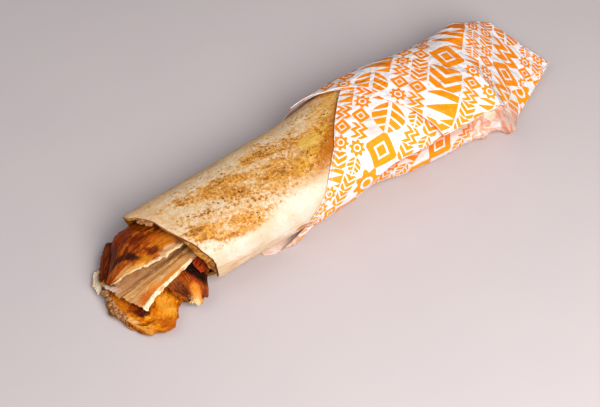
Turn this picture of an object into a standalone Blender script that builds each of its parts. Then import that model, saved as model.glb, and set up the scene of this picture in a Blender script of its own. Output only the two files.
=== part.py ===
"""A chicken shawarma wrap: a rolled flatbread with slices of chicken fanning out of its open end,
half in a greaseproof paper sleeve whose far end is folded flat.

The roll lies along X on the ground (z = 0), its open end towards -X. Angles round the roll are in
degrees: 0 is its far side (+Y), 90 the top, 180 the near side (-Y) and 270 underneath.
Lengths are in millimetres until a mesh is made, which MM turns into metres.
"""

import math

import bmesh
import bpy
import numpy as np
from mathutils import Vector, noise

MM = 0.001

CENTRE = Vector((3.1, 0.0, 0.0))  # the middle of the wrap's footprint, which moves to the origin

# The roll: a squarish oval that swells a little and bends to the far side towards its middle, and
# flattens towards its folded end.
ROLL = {  # x: half width, half height, y of the middle
    -100: (26.5, 19.6, 1.0),
    -20: (27.8, 20.6, 1.4),
    16: (28.8, 21.4, 3.8),
    42: (29.0, 21.6, 2.2),
    60: (28.5, 20.8, 1.0),
    75: (29.1, 19.0, 0.7),
    90: (31.0, 17.0, 0.5),
    100: (31.0, 17.0, 0.5),
}
OVAL_POWER = 2.5
BREAD_FLOOR = 1.3  # the underside of the bread, which the paper lifts off the ground
SAG = 1.2  # how much of the oval its own weight presses flat

# The flatbread: one sheet rolled up from INNER_ANGLE to its free edge at SEAM_ANGLE.
BREAD_THICK = 1.8
BREAD_PITCH = BREAD_THICK + 0.45  # from one turn of the sheet to the next
INNER_ANGLE, SEAM_ANGLE = -297.0, 207.0
ANGLE_STEP = 9.0
BREAD_ROWS = 9
BREAD_END = 88.0
RIM = {  # angle: x of the open end's slanted rim
    0: -110, 45: -113.3, 60: -109.5, 75: -105.8, 90: -103.5, 110: -100.6, 136: -94.2,
    160: -90.7, 185: -89.2, 207: -89, 240: -93, 270: -99, 315: -105,
}
# Past the seam the inner turn's rim comes out over RIM_OUT_TURN degrees and then draws back.
INNER_RIM_OUT, INNER_RIM_IN = 3.5, 6.0
RIM_OUT_TURN, RIM_BACK_START = 40.0, 60.0
BREAD_COLOUR, BREAD_ROUGH = (0.72, 0.47, 0.22), 0.7

# The filling behind the loose slices.
FILLING_INSET = 6.4
FILLING_START, FILLING_END = -74.0, 86.0
FILLING_STATIONS = 9
FILLING_COLOUR, FILLING_ROUGH = (0.45, 0.17, 0.05), 0.5

# The paper sleeve: greaseproof paper whose free edges are two sides of a slanting corner.
PAPER_THICK = 0.5
PAPER_GAP = BREAD_FLOOR - PAPER_THICK
FLAP_THICK = 0.7  # the outer flap and the air under it
FLAP_STEP = 0.8  # how wide the step up onto the flap is
SLEEVE_END = 90.0
LOW_ROWS, FLAP_ROWS, LINING_ROWS = 5, 8, 7  # along the sheet, along the flap, along the inside
FRONT_EDGE = {  # angle: x of the sheet's front edge, a corner that lies on the ground at 225 to 262
    67: 21, 90: 10, 106: 0, 122: -10, 137: -17, 159: -24, 180: -30, 205: -36, 216: -52,
    225: -58, 262: -58, 300: -40, 345: -20, 392: -2,
}
FLAP_EDGE = {67: 24, 100: 34, 137: 47, 174: 55, 190: 74, 207: 84, 333: 84, 392: 5}
FLAP_OFF, FLAP_ON = (190, 207), (300, 333)  # angles over which the flap goes under and comes back
TUCK_EDGE = {  # x: angle of the fold along the near side, over the sheet that shows below it
    -6: 214, 4: 191, 12: 177, 20: 171, 46: 170, 60: 167, 70: 163, 78: 159, 90: 153,
}
TUCK_DEPTH = 0.8
TUCK_GROWS = (-6, 12)  # x: over this stretch the fold comes to its full depth
TUCK_TURN = 9  # degrees over which the paper steps in at the fold
UNDERNEATH = (240, 262)  # angles over which fold and pleats die away under the wrap
FLAT_TURN_IN, FLAT_TURN_OUT = (203, 216), (262, 270)  # angles over which the corner leaves the roll
FLAT_ENDS = (-40, -30)  # x: over this stretch the corner on the ground goes back to the roll
NEAR_SPREAD = {12: 0.0, 32: 3.2, 60: 3.6, 70: 3.0, 90: 3.4}  # x: how far the low near side bulges
SPREAD_TURN = (180, 215)  # angles over which it comes to its full bulge
PLEATS_GROW = (68, 90)  # x: over this stretch its pleats come to their full depth
PLEAT_DEPTH, PLEAT_LENGTH = 1.2, 9.0
PAPER_COLOUR, PAPER_ROUGH = (0.88, 0.82, 0.78), 0.6

# The folded end, as sections from far edge to near edge: (far, near, rise, drop, oval power).
END_SECTIONS = (
    ((106.2, 32.4, 23), (96, -34, 5), 17, 13, 2.1),
    ((118.1, 27.8, 23.5), (99, -34, 4), 11.5, 12, 2.0),
    ((129.6, 24.2, 20), (103, -32, 4), 6.5, 7, 1.9),
    ((138.9, 9.3, 11), (105, -30, 4), 3.2, 3, 1.8),
    ((147.5, -8.5, 4.0), (107, -28, 3), 1.2, 1.2, 2.0),
)

# Slices of chicken, each a sheet of meat that starts inside the bread. A station is
# (far edge, near edge, crown), the crown being the rise of the middle over both edges.
# ragged is how far its torn edges stray, cells how many mesh cells it has along and across.
TEAR_LENGTH = 7.0
SIDE_TEAR_POWER, TIP_TEAR_POWER = 7, 8  # the higher, the closer to the edge the tearing stays
SLICES = {
    "chicken_bottom_slice": dict(
        stations=(
            ((-80, 12, 9.4), (-80, -9, 9.4), 0),
            ((-98, 14, 9.4), (-97, -11, 9.2), 0.6),
            ((-109, 15, 8.7), (-105, -16, 7.0), 0.5),
            ((-119, 16, 5.6), (-112, -23.9, 4.6), 0.5),
            ((-128, 12.5, 4.6), (-119.5, -31.6, 4.4), 0.8),
            ((-137, 7.5, 4.0), (-131.5, -29.5, 4.2), 0.6),
            ((-141, -6, 4.0), (-137.5, -16, 4.0), 0.4),
        ),
        thick=3.3, ragged=2.0, cells=(17, 11), colour=(0.72, 0.30, 0.035), rough=0.4,
    ),
    "chicken_end_piece": dict(
        stations=(
            ((-122, 20.5, 4.2), (-125, 18.5, 4.2), 0),
            ((-128, 21.2, 3.8), (-131, 13, 4.2), 0.3),
            ((-134, 20.6, 3.4), (-136.5, 9.8, 3.8), 0.3),
            ((-139.3, 14.5, 3.2), (-140, 8.2, 3.2), 0),
        ),
        thick=2.8, ragged=1.4, cells=(8, 5), colour=(0.62, 0.40, 0.20), rough=0.5,
    ),
    "chicken_far_slice": dict(
        stations=(
            ((-80, 18, 13.5), (-80, 4, 16.6), 1),
            ((-104, 19.3, 13), (-104, 6, 15), 1),
            ((-113, 23, 11.5), (-112, 8, 14), 1),
            ((-121, 28.5, 9), (-119, 9, 11.8), 0.8),
            ((-129.5, 21.5, 8.6), (-128, 8.5, 9.6), 0.5),
            ((-136, 11, 8), (-135, 7.5, 8), 0),
        ),
        thick=3.2, ragged=1.6, cells=(12, 7), colour=(0.13, 0.025, 0.008), rough=0.4,
    ),
    "chicken_side_slice": dict(
        stations=(
            ((-80, -1, 18.5), (-80, -15, 13), 1),
            ((-91, -5, 19), (-91, -18.6, 10.5), 2),
            ((-98, -7, 17.5), (-97, -27.5, 5), 3),
            ((-105, -9, 14.4), (-104, -28.5, 4.4), 1.8),
            ((-114, -11, 11), (-109.5, -22.5, 8.8), 0.4),
        ),
        thick=3.0, ragged=2.2, cells=(13, 9), colour=(0.33, 0.07, 0.012), rough=0.35,
    ),
    "chicken_inner_slice": dict(
        stations=(
            ((-78, -9, 23.6), (-78, -17, 17.8), 0.4),
            ((-90, -12, 22.2), (-90, -19, 16.6), 0.4),
            ((-97, -14, 19.4), (-95.5, -19.4, 15.6), 0.2),
        ),
        thick=1.8, ragged=1.0, cells=(7, 5), colour=(0.16, 0.03, 0.01), rough=0.4,
    ),
    "chicken_pale_slice_lower": dict(
        stations=(
            ((-79, -6, 27.2), (-79, -12, 27), 0),
            ((-94, -8, 24.6), (-95, -15.5, 24.2), 0.4),
            ((-106, -7.6, 20), (-107, -15.5, 18), 0.8),
            ((-119, -6.6, 15), (-118, -15.5, 12), 0.8),
            ((-134, -5.4, 10), (-127.5, -19, 9), 0.5),
        ),
        thick=2.2, ragged=1.2, cells=(15, 6), colour=(0.56, 0.29, 0.12), rough=0.5,
    ),
    "chicken_pale_slice_upper": dict(
        stations=(
            ((-79, 11, 21), (-80, -4, 23), 0),
            ((-94, 11, 20.4), (-95, -6, 22.4), 0),
            ((-106, 10, 18.2), (-107, -6.2, 19), 0.2),
            ((-120, 9, 14.6), (-120, -5.4, 14.6), 0.4),
            ((-138.5, 8, 10.4), (-135, -4.4, 9.8), 0.3),
        ),
        thick=2.2, ragged=1.2, cells=(15, 7), colour=(0.56, 0.29, 0.12), rough=0.5,
    ),
    "chicken_top_slice": dict(
        stations=(
            ((-79, 15, 25.5), (-81, -5, 31), 1.5),
            ((-99, 20, 23.4), (-97, -8.6, 28.6), 4.5),
            ((-110, 24, 19.4), (-107.5, -5.6, 24.2), 4.5),
            ((-120, 23, 18), (-116, -3.4, 20.6), 4),
            ((-127, 14, 16.6), (-125, 0, 17.6), 3),
            ((-136, 5, 14.6), (-135, 1.5, 14.6), 0),
        ),
        thick=3.2, ragged=1.6, cells=(16, 9), colour=(0.36, 0.09, 0.015), rough=0.3,
    ),
}
NOTCHES = {  # torn into a slice's near edge: place along it, depth, half width
    "chicken_bottom_slice": ((0.63, 1.6, 1.6), (0.80, 2.2, 2.4)),
    "chicken_pale_slice_lower": ((0.24, 2.2, 5.0),),
    "chicken_side_slice": ((0.58, 1.6, 1.6), (0.83, 4.5, 2.2)),
}


def cosd(angle):
    return math.cos(math.radians(angle))


def sind(angle):
    return math.sin(math.radians(angle))


def ease(value, start, end):
    """0 before start, 1 after end, with a smooth step between."""
    t = min(1.0, max(0.0, (value - start) / (end - start)))
    return t * t * (3 - 2 * t)


def straight(table, value):
    """The value read from a {place: value} table, straight between its places."""
    places = sorted(table)
    return float(np.interp(value, places, [table[place] for place in places]))


def hermite(t, start, end, start_slope, end_slope):
    """Cubic curve from start to end as t goes from 0 to 1."""
    rest = 1 - t
    return (
        rest * rest * (1 + 2 * t) * start
        + t * t * (3 - 2 * t) * end
        + t * rest * rest * start_slope
        - t * t * rest * end_slope
    )


def smooth(table, value):
    """The value read from a {place: value} table, with a smooth curve through its places."""
    places = sorted(table)
    value = min(max(value, places[0]), places[-1])
    last = len(places) - 1
    right = next(i for i in range(1, last + 1) if value <= places[i] or i == last)
    knots = [places[min(max(i, 0), last)] for i in range(right - 2, right + 2)]
    levels = [np.array(table[knot], float) for knot in knots]
    width = knots[2] - knots[1]
    slopes = [
        (levels[i + 1] - levels[i - 1]) / (knots[i + 1] - knots[i - 1]) * width for i in (1, 2)
    ]
    return hermite((value - knots[1]) / width, levels[1], levels[2], *slopes)


def all_round(table):
    """An angle table that goes on for a turn before and after its own."""
    return {place + turn: table[place] for turn in (-360, 0, 360) for place in table}


def oval(angle, power):
    """Unit superellipse: how far across and how far up it is at this angle."""
    across, up = cosd(angle), sind(angle)
    reach = (abs(across) ** power + abs(up) ** power) ** (-1 / power)
    return across * reach, up * reach


def roll_point(x, angle, inset=0.0):
    """The point of the roll's surface at this place, or inset below it (above it if negative)."""
    half_width, half_height, middle_y = smooth(ROLL, x)
    middle_z = BREAD_FLOOR + half_height - SAG
    across, up = oval(angle, OVAL_POWER)
    y = middle_y + (half_width - inset) * across
    z = middle_z + (half_height - inset) * up
    return x, y, max(z, BREAD_FLOOR + inset, 0.0)


def rim_x(angle):
    """Where the bread ends at its open end: a slanted cut, the inner turn standing out and in."""
    under_seam = SEAM_ANGLE - 360
    out = INNER_RIM_OUT * ease(-angle, -under_seam, RIM_OUT_TURN - under_seam)
    back = (INNER_RIM_OUT + INNER_RIM_IN) * ease(-angle, RIM_BACK_START - under_seam, -INNER_ANGLE)
    return float(smooth(all_round(RIM), angle)) - out + back


def bread_point(across, along):
    """The bread's outer surface: across runs from the sheet's inner edge to its seam."""
    angle = INNER_ANGLE + (SEAM_ANGLE - INNER_ANGLE) * across
    inset = BREAD_PITCH * (SEAM_ANGLE - angle) / 360
    start = rim_x(angle)
    return roll_point(start + (BREAD_END - start) * along, angle, inset)


def paper_point(x, angle, out, tuck_depth):
    """A point of the sleeve, out beyond the bread: on the ground where its corner lies flat."""
    tuck = straight(TUCK_EDGE, x)
    in_sight = 1 - ease(angle, *UNDERNEATH)
    under_tuck = tuck_depth * ease(x, *TUCK_GROWS) * ease(angle, tuck, tuck + TUCK_TURN) * in_sight
    pleat = PLEAT_DEPTH * math.sin(2 * math.pi * x / PLEAT_LENGTH) * ease(x, *PLEATS_GROW)
    spread = (straight(NEAR_SPREAD, x) + pleat) * ease(angle, *SPREAD_TURN) * in_sight
    point = Vector(roll_point(x, angle, under_tuck - out - spread))
    flat = ease(angle, *FLAT_TURN_IN) * (1 - ease(angle, *FLAT_TURN_OUT)) * (1 - ease(x, *FLAT_ENDS))
    return point.lerp(Vector((x, point.y, max(BREAD_FLOOR - out, 0.0))), flat)


def sleeve_column(angle):
    """The sleeve's outer surface along one angle: front edge, step up onto the flap, sleeve end."""
    front = straight(all_round(FRONT_EDGE), angle)
    flap = straight(all_round(FLAP_EDGE), angle)
    covered = 1 - ease(angle, *FLAP_OFF) + ease(angle, *FLAP_ON)
    low = np.linspace(front, flap - FLAP_STEP / 2, LOW_ROWS + 1)
    high = np.linspace(flap + FLAP_STEP / 2, SLEEVE_END, FLAP_ROWS + 1)
    out = PAPER_GAP + PAPER_THICK
    column = [paper_point(x, angle, out, TUCK_DEPTH) for x in low]
    return column + [paper_point(x, angle, out + FLAP_THICK * covered, TUCK_DEPTH) for x in high]


def lining_column(angle):
    """The sleeve's inner surface along the same angle, from its front edge to its end."""
    front = straight(all_round(FRONT_EDGE), angle)
    inner_end = (BREAD_END + SLEEVE_END) / 2
    stations = np.linspace(front, inner_end, LINING_ROWS + 1)
    return [paper_point(x, angle, PAPER_GAP, 0.0) for x in stations]


def end_ring(far, near, rise, drop, power, angles):
    """A closed section of the folded end, from the far edge over the top to the near edge."""
    far, near = Vector(far), Vector(near)
    middle, half = (far + near) / 2, (far - near) / 2
    ring = []
    for angle in angles:
        across, up = oval(angle, power)
        point = middle + half * across + Vector((0, 0, (rise if up > 0 else drop) * up))
        point.z = max(point.z, 0.0)
        ring.append(point)
    return ring


def slice_point(stations, across, along):
    """A point of a slice's upper side, from the far edge (0) to the near edge (1)."""
    table = {
        place: (*far, *near, crown) for place, (far, near, crown) in enumerate(stations)
    }
    reach = min(max(along, 0.0), 1.0) * (len(stations) - 1)
    row = smooth(table, reach)
    far, near, crown = Vector(row[:3]), Vector(row[3:6]), row[6]
    beyond = along - min(max(along, 0.0), 1.0)
    drift = (Vector(stations[-1][0]) - Vector(stations[-2][0])) * beyond * (len(stations) - 1)
    return far.lerp(near, across) + drift + Vector((0, 0, crown * 4 * across * (1 - across)))


def torn_slice_point(name, piece, across, along):
    """The same with torn edges: near them the sheet stretches and shrinks by a noise."""
    first, last = piece["stations"][0], piece["stations"][-1]
    length = (Vector(first[0]) - Vector(last[0])).length
    width = max((Vector(far) - Vector(near)).length for far, near, _ in piece["stations"])
    seed = Vector((0, 0.7 * sum(map(ord, name)), 0))
    at_side = (2 * across - 1) ** SIDE_TEAR_POWER
    at_tip = along**TIP_TEAR_POWER
    side_tear = noise.noise(seed + Vector((along * length / TEAR_LENGTH, round(across), 0)))
    tip_tear = noise.noise(seed + Vector((across * width / TEAR_LENGTH, 5, 0)))
    across += at_side * side_tear * piece["ragged"] / width
    for place, deep, half in NOTCHES.get(name, ()):
        off = (along - place) * length / half
        across -= max(at_side, 0.0) * deep * math.exp(-off * off) / width
    along += at_tip * tip_tear * piece["ragged"] / length
    return slice_point(piece["stations"], across, along)


def new_object(name, mesh_data, collection, colour, rough):
    """An object in the wrap's collection with a material of its own."""
    mesh = bpy.data.meshes.new(name)
    mesh_data.to_mesh(mesh)
    mesh_data.free()
    mesh.shade_smooth()
    mesh.set_sharp_from_angle(angle=math.radians(50))
    obj = bpy.data.objects.new(name, mesh)
    collection.objects.link(obj)
    material = bpy.data.materials.new(name)
    material.use_nodes = True
    shader = material.node_tree.nodes["Principled BSDF"]
    shader.inputs["Base Color"].default_value = (*colour, 1)
    shader.inputs["Roughness"].default_value = rough
    mesh.materials.append(material)
    return obj


def sheet(name, surface, cells, thick, collection, colour, rough):
    """A sheet bent to surface(across, along), thickened below its upper side."""
    grid = bmesh.new()
    bmesh.ops.create_grid(grid, x_segments=cells[0], y_segments=cells[1], size=0.5)
    for vert in grid.verts:
        vert.co = (Vector(surface(vert.co.x + 0.5, vert.co.y + 0.5)) - CENTRE) * MM
    obj = new_object(name, grid, collection, colour, rough)
    solidify = obj.modifiers.new("Thickness", "SOLIDIFY")
    solidify.thickness = thick * MM
    solidify.offset = -1
    return obj


def loft(name, rings, collection, colour, rough):
    """Closed rings of equally many points joined in order, each end zipped shut across."""
    body = bmesh.new()
    loops = [[body.verts.new((Vector(point) - CENTRE) * MM) for point in ring] for ring in rings]
    count = len(loops[0])
    for lower, upper in zip(loops, loops[1:]):
        for i in range(count):
            j = (i + 1) % count
            body.faces.new((lower[i], lower[j], upper[j], upper[i]))
    for loop in (loops[0], loops[-1]):
        for i in range(count // 2):
            corners = (loop[i], loop[i + 1], loop[count - i - 1], loop[-i])
            body.faces.new(list(dict.fromkeys(corners)))
    bmesh.ops.recalc_face_normals(body, faces=body.faces)
    return new_object(name, body, collection, colour, rough)


def make_flatbread(collection):
    cells = (round((SEAM_ANGLE - INNER_ANGLE) / ANGLE_STEP), BREAD_ROWS)
    sheet("flatbread", bread_point, cells, BREAD_THICK, collection, BREAD_COLOUR, BREAD_ROUGH)


def make_filling(collection):
    stations = np.linspace(FILLING_START, FILLING_END, FILLING_STATIONS)
    rings = [
        [roll_point(x, angle, FILLING_INSET) for angle in np.arange(0, 360, 2 * ANGLE_STEP)]
        for x in stations
    ]
    loft("chicken_filling", rings, collection, FILLING_COLOUR, FILLING_ROUGH)


def make_paper(collection):
    angles = [float(angle) for angle in np.arange(0, 360, ANGLE_STEP)]
    lining = zip(*[lining_column(angle) for angle in angles])
    outside = zip(*[sleeve_column(angle) for angle in angles])
    end = [end_ring(*section, angles) for section in END_SECTIONS]
    rings = list(lining)[::-1] + list(outside) + end
    loft("paper_wrapper", rings, collection, PAPER_COLOUR, PAPER_ROUGH)


def make_slices(collection):
    for name, piece in SLICES.items():

        def surface(across, along, name=name, piece=piece):
            return torn_slice_point(name, piece, 1 - across, along)

        along_cells, across_cells = piece["cells"]
        cells = (across_cells, along_cells)
        sheet(name, surface, cells, piece["thick"], collection, piece["colour"], piece["rough"])


def main():
    for obj in list(bpy.data.objects):
        bpy.data.objects.remove(obj, do_unlink=True)
    collection = bpy.data.collections.new("chicken_shawarma_wrap")
    bpy.context.scene.collection.children.link(collection)
    make_flatbread(collection)
    make_filling(collection)
    make_paper(collection)
    make_slices(collection)


main()
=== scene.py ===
"""Looks for the chicken shawarma wrap: a rolled flatbread with slices of chicken fanning out of its
open end, half in a printed greaseproof paper sleeve that is folded flat at its far end.

The roll lies along X. Angles round it are in degrees: 0 is its far side (+Y), 90 the top, 180 the
near side (-Y) and 270 underneath. Lengths are in millimetres until a mesh is made.
"""

import math
import random

import bmesh
import bpy
import numpy as np
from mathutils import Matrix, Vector, noise


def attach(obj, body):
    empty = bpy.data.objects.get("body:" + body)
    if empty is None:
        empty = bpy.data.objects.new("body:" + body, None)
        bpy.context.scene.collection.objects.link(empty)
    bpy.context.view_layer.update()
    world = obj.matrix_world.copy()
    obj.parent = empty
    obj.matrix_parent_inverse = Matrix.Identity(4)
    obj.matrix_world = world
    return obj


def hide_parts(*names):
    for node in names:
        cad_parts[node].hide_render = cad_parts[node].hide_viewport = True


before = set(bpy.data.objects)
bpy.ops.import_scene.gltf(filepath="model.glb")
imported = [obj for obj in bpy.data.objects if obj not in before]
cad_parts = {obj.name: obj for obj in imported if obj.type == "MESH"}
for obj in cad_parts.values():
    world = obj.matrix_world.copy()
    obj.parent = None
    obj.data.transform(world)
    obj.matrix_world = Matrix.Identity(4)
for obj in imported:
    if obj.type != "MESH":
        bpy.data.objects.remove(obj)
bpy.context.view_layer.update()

MM = 0.001
CENTRE = Vector((3.1, 0.0, 0.0))  # the middle of the wrap's footprint, which moves to the origin

# ---- The forms the solids have too ----

ROLL = {  # x: half width, half height, y of the middle
    -100: (26.5, 19.6, 1.0), -20: (27.8, 20.6, 1.4), 16: (28.8, 21.4, 3.8), 42: (29.0, 21.6, 2.2),
    60: (28.5, 20.8, 1.0), 75: (29.1, 19.0, 0.7), 90: (31.0, 17.0, 0.5), 100: (31.0, 17.0, 0.5),
}
OVAL_POWER = 2.5
BREAD_FLOOR = 1.3
SAG = 1.2

BREAD_THICK = 1.8
BREAD_PITCH = BREAD_THICK + 0.45
INNER_ANGLE, SEAM_ANGLE = -297.0, 207.0
UNDER_SEAM = SEAM_ANGLE - 360  # the same place one turn further in
BREAD_END = 88.0
RIM = {  # angle: x of the open end's slanted rim
    0: -110, 45: -113.3, 60: -109.5, 75: -105.8, 90: -103.5, 110: -100.6, 136: -94.2,
    160: -90.7, 185: -89.2, 207: -89, 240: -93, 270: -99, 315: -105,
}
INNER_RIM_OUT, INNER_RIM_IN = 3.5, 6.0
RIM_OUT_TURN, RIM_BACK_START = 40.0, 60.0

FILLING_INSET = 6.4
FILLING_START, FILLING_END = -74.0, 86.0

SLEEVE_END = 90.0
FRONT_EDGE = {  # angle: x of the sheet's front edge, a corner that lies on the ground at 225 to 262
    67: 21, 90: 10, 106: 0, 122: -10, 137: -17, 159: -24, 180: -30, 205: -36, 216: -52,
    225: -58, 262: -58, 300: -40, 345: -20, 392: -2,
}
TUCK_EDGE = {  # x: angle of the fold along the near side, over the sheet that shows below it
    -6: 214, 4: 191, 12: 177, 20: 171, 46: 170, 60: 167, 70: 163, 78: 159, 90: 153,
}
TUCK_DEPTH = 0.8
TUCK_GROWS = (-6, 12)
UNDERNEATH = (240, 262)
FLAT_TURN = (203, 216, 262, 270)  # angles where the corner on the ground begins and ends
FLAT_ENDS = (-40, -30)
NEAR_SPREAD = {12: 0.0, 32: 3.2, 60: 3.6, 70: 3.0, 90: 3.4}  # x: how far the low near side bulges
SPREAD_TURN = (180, 215)
PLEATS_GROW = (68, 90)
PLEAT_DEPTH, PLEAT_LENGTH = 1.2, 9.0

END_SECTIONS = (  # far edge, near edge, rise, drop, oval power
    ((106.2, 32.4, 23), (96, -34, 5), 17, 13, 2.1),
    ((118.1, 27.8, 23.5), (99, -34, 4), 11.5, 12, 2.0),
    ((129.6, 24.2, 20), (103, -32, 4), 6.5, 7, 1.9),
    ((138.9, 9.3, 11), (105, -30, 4), 3.2, 3, 1.8),
    ((147.5, -8.5, 4.0), (107, -28, 3), 1.2, 1.2, 2.0),
)

SLICES = {  # stations: x, y, z of the far and near edge, rise of the middle over both
    "bottom_slice": (
        (-80, 12, 9.4, -80, -9, 9.4, 0), (-98, 14, 9.4, -97, -11, 9.2, 0.6),
        (-109, 15, 8.7, -105, -16, 7.0, 0.5), (-119, 16, 5.6, -112, -23.9, 4.6, 0.5),
        (-128, 12.5, 4.6, -119.5, -31.6, 4.4, 0.8), (-137, 7.5, 4.0, -131.5, -29.5, 4.2, 0.6),
        (-141, -6, 4.0, -137.5, -16, 4.0, 0.4),
    ),
    "end_piece": (
        (-122, 20.5, 4.2, -125, 18.5, 4.2, 0), (-128, 21.2, 3.8, -131, 13, 4.2, 0.3),
        (-134, 20.6, 3.4, -136.5, 9.8, 3.8, 0.3), (-139.3, 14.5, 3.2, -140, 8.2, 3.2, 0),
    ),
    "far_slice": (
        (-80, 18, 13.5, -80, 4, 16.6, 1), (-104, 19.3, 13, -104, 6, 15, 1),
        (-113, 23, 11.5, -112, 8, 14, 1), (-121, 28.5, 9, -119, 9, 11.8, 0.8),
        (-129.5, 21.5, 8.6, -128, 8.5, 9.6, 0.5), (-136, 11, 8, -135, 7.5, 8, 0),
    ),
    "side_slice": (
        (-80, -1, 18.5, -80, -15, 13, 1), (-91, -5, 19, -91, -18.6, 10.5, 2),
        (-98, -7, 17.5, -97, -27.5, 5, 3), (-105, -9, 14.4, -104, -28.5, 4.4, 1.8),
        (-114, -11, 11, -109.5, -22.5, 8.8, 0.4),
    ),
    "inner_slice": (
        (-78, -9, 23.6, -78, -17, 17.8, 0.4), (-90, -12, 22.2, -90, -19, 16.6, 0.4),
        (-97, -14, 19.4, -95.5, -19.4, 15.6, 0.2),
    ),
    "pale_slice_lower": (
        (-79, -5.0, 25.6, -79, -12, 27, 0), (-94, -6.9, 23.8, -95, -15.5, 24.2, 0.4),
        (-106, -6.9, 19.6, -107, -15.5, 18, 0.8), (-119, -6.0, 14.9, -118, -15.5, 12, 0.8),
        (-134, -5.0, 9.9, -127.5, -19, 9, 0.5),
    ),
    "pale_slice_upper": (
        (-79, 11, 21, -80, -4, 23, 0), (-94, 11, 20.4, -95, -6, 22.4, 0),
        (-106, 10, 18.2, -107, -6.2, 19, 0.2), (-120, 9, 14.6, -120, -5.4, 14.6, 0.4),
        (-138.5, 8, 10.4, -135, -4.4, 9.8, 0.3),
    ),
    "top_slice": (
        (-79, 15, 25.5, -81, -5, 31, 1.5), (-99, 20, 23.4, -97, -8.6, 28.6, 4.5),
        (-110, 24, 19.4, -107.5, -5.6, 24.2, 4.5), (-120, 23, 18, -116, -3.4, 20.6, 4),
        (-127, 14, 16.6, -125, 0, 17.6, 3), (-136, 5, 14.6, -135, 1.5, 14.6, 0),
    ),
}


def cosd(angle):
    return math.cos(math.radians(angle))


def sind(angle):
    return math.sin(math.radians(angle))


def ease(value, start, end):
    """0 before start, 1 after end, with a smooth step between."""
    t = min(1.0, max(0.0, (value - start) / (end - start)))
    return t * t * (3 - 2 * t)


def within(value, start, full, fading, end):
    """1 between full and fading and 0 outside start and end, with smooth steps between."""
    return ease(value, start, full) * (1 - ease(value, fading, end))


def straight(table, value):
    """The value read from a {place: value} table, straight between its places."""
    places = sorted(table)
    return float(np.interp(value, places, [table[place] for place in places]))


def smooth(table, value):
    """The value read from a {place: value} table, with a smooth curve through its places."""
    places = sorted(table)
    value = min(max(value, places[0]), places[-1])
    last = len(places) - 1
    right = next(i for i in range(1, last + 1) if value <= places[i] or i == last)
    knots = [places[min(max(i, 0), last)] for i in range(right - 2, right + 2)]
    levels = [np.array(table[knot], float) for knot in knots]
    width = knots[2] - knots[1]
    slopes = [
        (levels[i + 1] - levels[i - 1]) / (knots[i + 1] - knots[i - 1]) * width for i in (1, 2)
    ]
    t = (value - knots[1]) / width
    rest = 1 - t
    ends = rest * rest * (1 + 2 * t) * levels[1] + t * t * (3 - 2 * t) * levels[2]
    return ends + t * rest * rest * slopes[0] - t * t * rest * slopes[1]


def all_round(table):
    """An angle table that goes on for a turn before and after its own."""
    return {place + turn: table[place] for turn in (-360, 0, 360) for place in table}


RIM_ROUND = all_round(RIM)
FRONT_ROUND = all_round(FRONT_EDGE)


def oval(angle, power):
    """Unit superellipse: how far across and how far up it is at this angle."""
    across, up = cosd(angle), sind(angle)
    reach = (abs(across) ** power + abs(up) ** power) ** (-1 / power)
    return across * reach, up * reach


def roll_point(x, angle, inset=0.0):
    """The point of the roll's surface at this place, or inset below it (above it if negative)."""
    half_width, half_height, middle_y = smooth(ROLL, x)
    middle_z = BREAD_FLOOR + half_height - SAG
    across, up = oval(angle, OVAL_POWER)
    y = middle_y + (half_width - inset) * across
    z = middle_z + (half_height - inset) * up
    return x, y, max(z, BREAD_FLOOR + inset, 0.0)


def rim_x(angle):
    """Where the bread ends at its open end: a slanted cut, the inner turn standing out and in."""
    out = INNER_RIM_OUT * ease(-angle, -UNDER_SEAM, RIM_OUT_TURN - UNDER_SEAM)
    back = (INNER_RIM_OUT + INNER_RIM_IN) * ease(-angle, RIM_BACK_START - UNDER_SEAM, -INNER_ANGLE)
    return float(smooth(RIM_ROUND, angle)) - out + back


def ripple(place, size, seed=0.0):
    """Smooth noise between about -1 and 1, with lumps of this size."""
    return noise.noise(Vector(place) / size + Vector((seed, 2 * seed, 3 * seed)))


def crease(place, size, seed=0.0):
    """Sharp valleys between rounded fields, as in crumpled paper: 0 in a crease, up to about 1."""
    return abs(ripple(place, size, seed)) * 2


# How far it is round the roll to each angle, along its surface.
TURN_STEPS = np.arange(-360, 721, 2.0)
TURN_POINTS = [Vector(roll_point(0, angle)) for angle in TURN_STEPS]
TURN_LENGTHS = np.cumsum([0] + [(b - a).length for a, b in zip(TURN_POINTS, TURN_POINTS[1:])])


def way_round(angle):
    return float(np.interp(angle, TURN_STEPS, TURN_LENGTHS))


# ---- Meshes ----


def placed(name, data):
    """An object in the scene with this mesh, light or camera."""
    made = bpy.data.objects.new(name, data)
    bpy.context.scene.collection.objects.link(made)
    return made


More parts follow.
